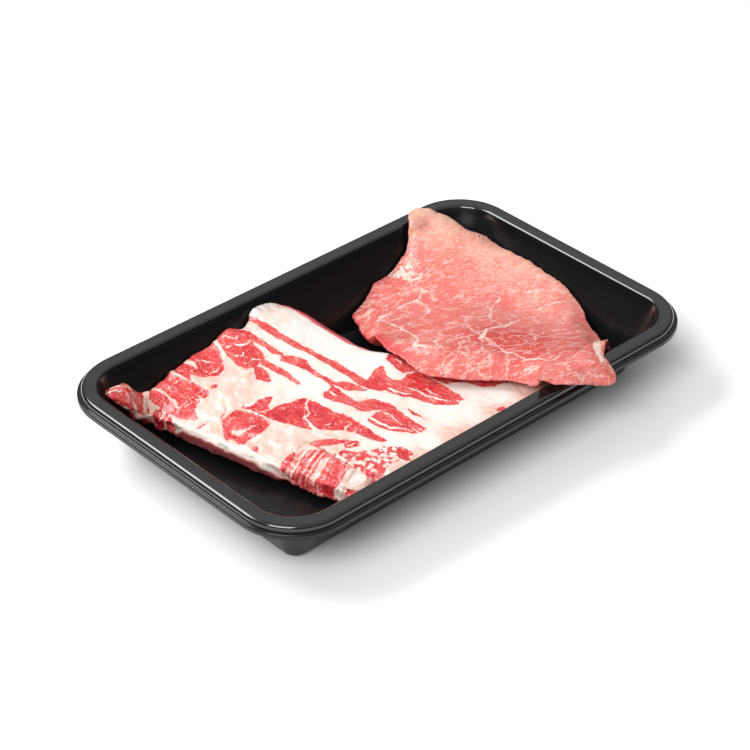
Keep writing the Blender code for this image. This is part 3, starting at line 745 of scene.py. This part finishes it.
# %% Raise the slice's skin and keep its values
ALONG_FIBRES, ACROSS_FIBRES = np.array([0.913, -0.407]), np.array([0.407, 0.913])
# The steep parts of the border are kept as the cut edge: rougher in relief and painted darker red as
# their shade.
cut_edge = step(0.62 - normals[:, 2], 0.0, 0.4) * step(-inset, -2.6, -1.0)
fold = step(-inset, -6.0, -1.0) * step(-plan[:, 0], -21, -15) * step(plan[:, 1], -8, 0)
along, across = plan @ ALONG_FIBRES, plan @ ACROSS_FIBRES
fibres = np.stack([along * 0.22, across, spots[:, 2] * 0.5], axis=1)
sinew = step(fat, -0.35, 0.45)
heights = 0.10 * swell(fibres, 0.8, 70) + 0.08 * swell(fibres, 1.7, 71)
heights += 0.22 * swell(spots, 5.0, 72) + 0.14 * sinew - 0.10 * step(fat, -0.9, -0.2)
heights += cut_edge * (0.25 * swell(spots, 1.6, 73) + 0.2 * swell(spots, 3.4, 74))
raise_skin(lean_slice, spots, normals, heights)
store(lean_slice, fat=np.clip(fat, -4, 4), peach=peach, cut_edge=cut_edge, fold=fold)
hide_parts("lean_slice")
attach(lean_slice, "root")
print("relief on the slice, mm:", round(float(heights.min()), 2), round(float(heights.max()), 2))

# %% [markdown]
# Both meats share the look of muscle: fine fibres in one direction, small pale flecks of fat
# between them, and slow clouds of lighter and darker red. One node group holds it, with the
# direction and sizes as inputs, and each meat uses it with its own values.


# %% The muscle group
def muscle_group():
    """Fibres, flecks and clouds that any lean meat can use."""
    group = bpy.data.node_groups.new("muscle", "ShaderNodeTree")
    for name, kind, value in (("Turn", "NodeSocketFloat", 0.0), ("Stretch", "NodeSocketFloat", 4.0),
                              ("Fleck Size", "NodeSocketFloat", 1.0)):
        socket = group.interface.new_socket(name, in_out="INPUT", socket_type=kind)
        socket.default_value = value
    for name in ("Fibres", "Flecks", "Clouds"):
        group.interface.new_socket(name, in_out="OUTPUT", socket_type="NodeSocketFloat")
    inside = group.nodes.new("NodeGroupInput").outputs
    outside = group.nodes.new("NodeGroupOutput")
    place = plant(group, "ShaderNodeTexCoord").outputs["Object"]
    turned = plant(group, "ShaderNodeVectorRotate", {"rotation_type": "Z_AXIS"},
                   Vector=place, Angle=inside["Turn"]).outputs[0]
    squeeze = math_node(group, "DIVIDE", 1.0, inside["Stretch"])
    scale = plant(group, "ShaderNodeCombineXYZ", X=squeeze, Y=1.0, Z=0.6).outputs[0]
    combed = plant(group, "ShaderNodeVectorMath", {"operation": "MULTIPLY"}, i0=turned,
                   i1=scale).outputs[0]
    fibres = plant(group, "ShaderNodeTexNoise", Vector=combed, Scale=1500.0, Detail=3.0,
                   Roughness=0.6, Distortion=0.3).outputs["Fac"]
    fleck_scale = math_node(group, "DIVIDE", 900.0, inside["Fleck Size"])
    flecks = plant(group, "ShaderNodeTexNoise", Vector=combed, Scale=fleck_scale, Detail=2.0,
                   Roughness=0.55, Distortion=0.6).outputs["Fac"]
    clouds = noise(group, place, 160.0, 3.0)
    for name, value in (("Fibres", fibres), ("Flecks", flecks), ("Clouds", clouds)):
        group.links.new(value, outside.inputs[name])
    return group


muscle = muscle_group()
print("muscle group:", [item.name for item in muscle.interface.items_tree])

# %% [markdown]
# The belly's material reads the values kept on its skin. The distance from the nearest
# border, frayed a little by noise, decides between lean and fat. Lean takes its red from
# the tone of its muscle, with tiny painted glints; fat takes its cream, and blushes next to
# the lean. The clear corner, the rind, the crease's painted shade and the underside's dark
# red, partly painted shade, are laid over both. A clear coat stands for the moisture that
# makes small sharp lights on the ridges.


# %% The start and the end of a meat material
FIBRE_RELIEF, MEAT_IOR = 0.0003, 1.4


def kept(tree, name):
    """A value that was kept on the skin."""
    return plant(tree, "ShaderNodeAttribute", {"attribute_name": name}).outputs["Fac"]


def start_meat(name, turn, stretch, fleck_size, fray_scale, fray_amount):
    """A meat material with its grain, its places, and the noise that frays its borders."""
    material, tree, shader = new_material(name)
    grain = plant(tree, "ShaderNodeGroup", {"node_tree": muscle}, Turn=math.radians(turn),
                  Stretch=stretch, Fleck_Size=fleck_size).outputs
    place = plant(tree, "ShaderNodeTexCoord").outputs["Object"]
    fray = sway(tree, noise(tree, place, fray_scale, 2.0), fray_amount)
    return material, tree, shader, grain, place, fray


def finish_meat(tree, shader, colour, wet, height, relief, coat, coat_roughness):
    """Wires colour, roughness and bump, and lays the moist coat over them."""
    tree.links.new(colour, shader.inputs["Base Color"])
    tree.links.new(wet, shader.inputs["Roughness"])
    bump = plant(tree, "ShaderNodeBump", Strength=relief, Distance=FIBRE_RELIEF, Height=height)
    tree.links.new(bump.outputs["Normal"], shader.inputs["Normal"])
    shader.inputs["Coat Weight"].default_value = coat
    shader.inputs["Coat Roughness"].default_value = coat_roughness
    shader.inputs["IOR"].default_value = MEAT_IOR


print("meat materials share an IOR of", MEAT_IOR)

# %% The belly meat material
SALMON, DEEP_RED, DARKEST_RED = (0.74, 0.137, 0.115), (0.60, 0.016, 0.024), (0.42, 0.004, 0.012)
# BELLY_FLECK is fat; the second colour is for painted glints on the lean.
BELLY_FLECK, BELLY_PAINTED_GLINT = (0.80, 0.52, 0.46), (0.84, 0.74, 0.70)
WHITE_FAT, CREAM_FAT = (0.80, 0.77, 0.715), (0.76, 0.50, 0.42)
PINK_FAT, BLUSHING_FAT = (0.77, 0.44, 0.37), (0.76, 0.40, 0.34)
CLEAR_FAT, RIND_RED = (0.50, 0.47, 0.44), (0.72, 0.085, 0.115)
# The crease red is painted shade; the underside red is partly the meat's own and partly painted shade.
CREASE_SHADE_RED, UNDERSIDE_RED_AND_SHADE = (0.30, 0.03, 0.03), (0.30, 0.050, 0.056)

material, tree, shader, grain, place, fray = start_meat("moist belly meat", 80, 2.0, 1.0, 1100.0, 1.1)
lean_mask = ramp_up(tree, math_node(tree, "ADD", kept(tree, "lean"), fray), -0.18, 0.22)
deep = math_node(tree, "MULTIPLY_ADD", grain["Clouds"], 2.8, -1.35)
deep = math_node(tree, "ADD", deep, kept(tree, "tone"))
deep = math_node(tree, "ADD", deep, sway(tree, grain["Fibres"], 3.0))
red = blend(tree, ramp_up(tree, deep, -0.3, 0.95), SALMON, DEEP_RED)
red = tint(tree, red, ramp_up(tree, grain["Flecks"], 0.58, 0.66), 0.42, BELLY_FLECK)
# Painted glints: tiny white specks stand in for sharp wet lights on the lean.
painted_glint = noise(tree, place, 2300.0, 1.0)
red = tint(tree, red, ramp_up(tree, painted_glint, 0.65, 0.70), 0.48, BELLY_PAINTED_GLINT)
red = blend(tree, ramp_up(tree, deep, 1.1, 1.6), red, DARKEST_RED)
mottle = noise(tree, place, 260.0, 4.0)
creamy = math_node(tree, "MULTIPLY_ADD", mottle, 2.4, -1.0)
creamy = math_node(tree, "MULTIPLY_ADD", creamy, math_node(tree, "ADD", kept(tree, "cream"), 0.15),
                   kept(tree, "cream"), clamp=True)
white = blend(tree, creamy, WHITE_FAT, CREAM_FAT)
pink_cloud = ramp_up(tree, grain["Clouds"], 0.50, 0.72)
pink_cloud = math_node(tree, "MULTIPLY", pink_cloud, kept(tree, "cream"))
white = tint(tree, white, pink_cloud, 0.8, PINK_FAT)
blush = ramp_up(tree, kept(tree, "lean"), -2.2, 0.1)
blush = math_node(tree, "MULTIPLY", blush, ramp_up(tree, mottle, 0.35, 0.65))
white = tint(tree, white, blush, 0.55, BLUSHING_FAT)
colour = blend(tree, lean_mask, white, red)
colour = tint(tree, colour, kept(tree, "clear"), 0.8, CLEAR_FAT)
colour = tint(tree, colour, kept(tree, "rind"), 0.95, RIND_RED)
# Painted shade: the crease is darkened to a deep red.
colour = tint(tree, colour, kept(tree, "crease"), 0.8, CREASE_SHADE_RED)
# The underside's dark red is partly its own colour and partly painted shade.
colour = blend(tree, kept(tree, "under"), colour, UNDERSIDE_RED_AND_SHADE)
wet = math_node(tree, "MULTIPLY_ADD", mottle, 0.45, 0.10)
height = math_node(tree, "MULTIPLY_ADD", grain["Fibres"], 0.6, fray)
finish_meat(tree, shader, colour, wet, height, relief=0.65, coat=0.5, coat_roughness=0.08)
slab.data.materials.append(material)
print(material.name, "has", len(tree.nodes), "nodes")

# %% [markdown]
# The slice's lean is paler and pinker than the belly's, and turns peach where it thins out
# towards its upper edge. Its veins have soft borders because they lie partly under the
# surface, so their mask fades over 0.7 millimetres. A web of finer fat lies between them: the
# borders of bent, stretched Voronoi cells, let through in patches. Tiny pale specks are
# painted glints. Its steep cut edge is painted darker and redder as the shade on it, and its
# fold is a deeper red, because the lean there is seen end on.

# %% The lean meat material
ROSE, PALE_PINK, PEACH = (0.60, 0.050, 0.046), (0.76, 0.215, 0.185), (0.78, 0.46, 0.33)
# LEAN_FLECK and VEIN are fat; the middle colour is for painted glints.
LEAN_FLECK, LEAN_PAINTED_GLINT, VEIN = (0.80, 0.50, 0.42), (0.82, 0.66, 0.58), (0.80, 0.66, 0.57)
# The cut-edge red is painted shade; the fold red is the lean's own deeper red.
CUT_EDGE_SHADE_RED, FOLD_RED = (0.50, 0.05, 0.05), (0.60, 0.045, 0.045)
GRAIN_TURN = 24

material, tree, shader, grain, place, fray = start_meat(
    "moist lean meat", GRAIN_TURN, 3.2, 1.1, 1000.0, 1.0)
veins = ramp_up(tree, math_node(tree, "ADD", kept(tree, "fat"), fray), -0.40, 0.30)
pale = math_node(tree, "ADD", sway(tree, grain["Clouds"], 1.0), kept(tree, "peach"))
pale = math_node(tree, "ADD", pale, sway(tree, grain["Fibres"], 2.2))
pink = blend(tree, ramp_up(tree, pale, -1.2, 1.1), ROSE, PALE_PINK)
pink = blend(tree, ramp_up(tree, pale, 0.1, 1.5), pink, PEACH)
pink = tint(tree, pink, ramp_up(tree, grain["Flecks"], 0.57, 0.68), 0.65, LEAN_FLECK)
# Painted glints: tiny pale specks stand in for sharp wet lights on the lean.
painted_glint = noise(tree, place, 2100.0, 1.0)
pink = tint(tree, pink, ramp_up(tree, painted_glint, 0.66, 0.71), 0.8, LEAN_PAINTED_GLINT)
bent = plant(tree, "ShaderNodeTexNoise", Vector=place, Scale=300.0, Detail=2.0).outputs["Color"]
web = plant(tree, "ShaderNodeVectorRotate", {"rotation_type": "Z_AXIS"}, Vector=place,
            Angle=math.radians(GRAIN_TURN)).outputs[0]
web = plant(tree, "ShaderNodeVectorMath", {"operation": "MULTIPLY"}, i0=web,
            i1=(0.6, 1.0, 0.8)).outputs[0]
web = plant(tree, "ShaderNodeVectorMath", {"operation": "MULTIPLY_ADD"}, i0=bent,
            i1=(0.004,) * 3, i2=web).outputs[0]
web = plant(tree, "ShaderNodeTexVoronoi", {"feature": "DISTANCE_TO_EDGE"}, Vector=web,
            Scale=150.0).outputs["Distance"]
web = math_node(tree, "MULTIPLY", ramp_up(tree, web, 0.07, 0.0),
                ramp_up(tree, grain["Clouds"], 0.37, 0.53))
web = math_node(tree, "MULTIPLY", web, ramp_up(tree, kept(tree, "peach"), 0.5, 0.1))
pink = tint(tree, pink, web, 0.75, LEAN_FLECK)
# Painted shade: the steep cut edge is darkened towards a deep red.
pink = tint(tree, pink, kept(tree, "cut_edge"), 0.45, CUT_EDGE_SHADE_RED)
pink = tint(tree, pink, kept(tree, "fold"), 0.8, FOLD_RED)
colour = tint(tree, pink, veins, 0.85, VEIN)
wet = math_node(tree, "MULTIPLY_ADD", grain["Clouds"], 0.3, 0.22)
height = math_node(tree, "ADD", grain["Fibres"], fray)
finish_meat(tree, shader, colour, wet, height, relief=0.6, coat=0.45, coat_roughness=0.10)
lean_slice.data.materials.append(material)
print(material.name, "has", len(tree.nodes), "nodes")

# %% [markdown]
# Black polypropylene is almost a mirror for a bright studio: its own colour is nearly
# nothing, and what shows is reflected light. The pressing polishes the rim and leaves the
# walls and the floor duller, so the roughness and a thin coat change just under the rim. A
# faint unevenness of the surface keeps the reflections from looking like glass.

# %% The black plastic material
BLACK, WORN_BLACK = (0.0025, 0.0025, 0.0028), (0.006, 0.006, 0.0063)
material, tree, shader = new_material("pressed black plastic")
place = plant(tree, "ShaderNodeTexCoord").outputs["Object"]
ripple = noise(tree, place, 45.0, 2.0)
tree.links.new(blend(tree, ripple, BLACK, WORN_BLACK), shader.inputs["Base Color"])
up = plant(tree, "ShaderNodeSeparateXYZ", Vector=place).outputs["Z"]
dull = math_node(tree, "MULTIPLY_ADD", ramp_up(tree, up, 0.0285, 0.0245), 0.14, 0.09)
rubbed = math_node(tree, "MULTIPLY_ADD", noise(tree, place, 900.0, 3.0), 0.12, dull)
tree.links.new(rubbed, shader.inputs["Roughness"])
tree.links.new(ramp_up(tree, up, 0.0270, 0.0280), shader.inputs["Coat Weight"])
shader.inputs["Coat Roughness"].default_value = 0.05
bump = plant(tree, "ShaderNodeBump", Strength=0.12, Distance=0.0004, Height=ripple)
tree.links.new(bump.outputs["Normal"], shader.inputs["Normal"])
shader.inputs["IOR"].default_value = 1.49
shader.inputs["Specular IOR Level"].default_value = 0.32
tray.data.materials.append(material)
print(material.name, "has", len(tree.nodes), "nodes")

# %% [markdown]
# The studio is a white table and three soft lights in a pale room. The key stands high
# behind the left side: it draws the thin white lines on the tray's round bends and throws a
# short soft shadow to the front right. The fill stands to the left of the camera and lights
# the meat. A broad faint panel far behind gives the flat rim its grey. The room gets darker
# towards the horizon, so that the outer walls stay black.


# %% The table and the lights
def soft_light(name, place, aim, width, height, watts):
    """A rectangular studio lamp that faces a point, both in metres."""
    lamp = bpy.data.lights.new(name, "AREA")
    lamp.shape, lamp.size, lamp.size_y, lamp.energy = "RECTANGLE", width, height, watts
    holder = bpy.data.objects.new(name, lamp)
    holder.location = place
    holder.rotation_euler = (Vector(aim) - Vector(place)).to_track_quat("-Z", "Y").to_euler()
    bpy.context.scene.collection.objects.link(holder)
    return holder


TABLE_HALF, TABLE_DROP = 3.0, 0.0002
bm = bmesh.new()
bmesh.ops.create_grid(bm, x_segments=2, y_segments=2, size=TABLE_HALF)
table = as_object("white_table", bm)
table.data.transform(table.matrix_world.Translation((0, 0, -TABLE_DROP)))
material, tree, shader = new_material("white table top")
place = plant(tree, "ShaderNodeTexCoord").outputs["Object"]
paper = blend(tree, noise(tree, place, 3.0, 2.0), (0.91, 0.91, 0.91), (0.92, 0.92, 0.92))
tree.links.new(paper, shader.inputs["Base Color"])
shader.inputs["Roughness"].default_value = 0.9
shader.inputs["Specular IOR Level"].default_value = 0.1
table.data.materials.append(material)

key = soft_light("key light", (-0.38, 0.80, 0.98), (0, 0, 0.01), 0.95, 0.42, 11.7)
panel = soft_light("back panel", (0.95, 1.03, 0.95), (0, 0, 0.02), 1.1, 1.1, 0.35)
fill = soft_light("fill light", (-0.95, -0.43, 0.95), (0, 0, 0.02), 0.8, 0.6, 15.0)

world = bpy.data.worlds.new("pale room")
world.use_nodes = True
sky = world.node_tree
looking = plant(sky, "ShaderNodeTexCoord").outputs["Generated"]
level = plant(sky, "ShaderNodeSeparateXYZ", Vector=looking).outputs["Z"]
glow = math_node(sky, "MULTIPLY_ADD", ramp_up(sky, level, 0.15, 0.80), 0.56, 0.06)
sky.links.new(glow, sky.nodes["Background"].inputs["Strength"])
sky.nodes["Background"].inputs["Color"].default_value = (1, 1, 1, 1)
bpy.context.scene.world = world
print("lights:", key.name, panel.name, fill.name)

# %% [markdown]
# The camera stands at the near left of the tray, about 35 degrees above the table, with a
# long lens, so that the far side looks only a little smaller than the near side.

# %% The camera
azimuth, elevation = math.radians(-42.628), math.radians(34.854)
LOOKS_AT, DISTANCE, LENS, SENSOR = (-0.01642, -0.01258, 0.030), 0.95066, 115.23, 36.0
back = Vector((math.sin(azimuth) * math.cos(elevation), -math.cos(azimuth) * math.cos(elevation),
               math.sin(elevation)))
lens = bpy.data.cameras.new("camera")
lens.lens, lens.sensor_width, lens.clip_start = LENS, SENSOR, 0.01
camera = bpy.data.objects.new("camera", lens)
camera.location = Vector(LOOKS_AT) + back * DISTANCE
camera.rotation_euler = (-back).to_track_quat("-Z", "Y").to_euler()
bpy.context.scene.collection.objects.link(camera)
bpy.context.scene.camera = camera
bpy.context.scene.view_settings.view_transform = "Standard"
bpy.context.scene.view_settings.look = "None"
bpy.context.scene.view_settings.exposure = 0.0
print("camera at, mm:", [round(c / MM) for c in camera.location])
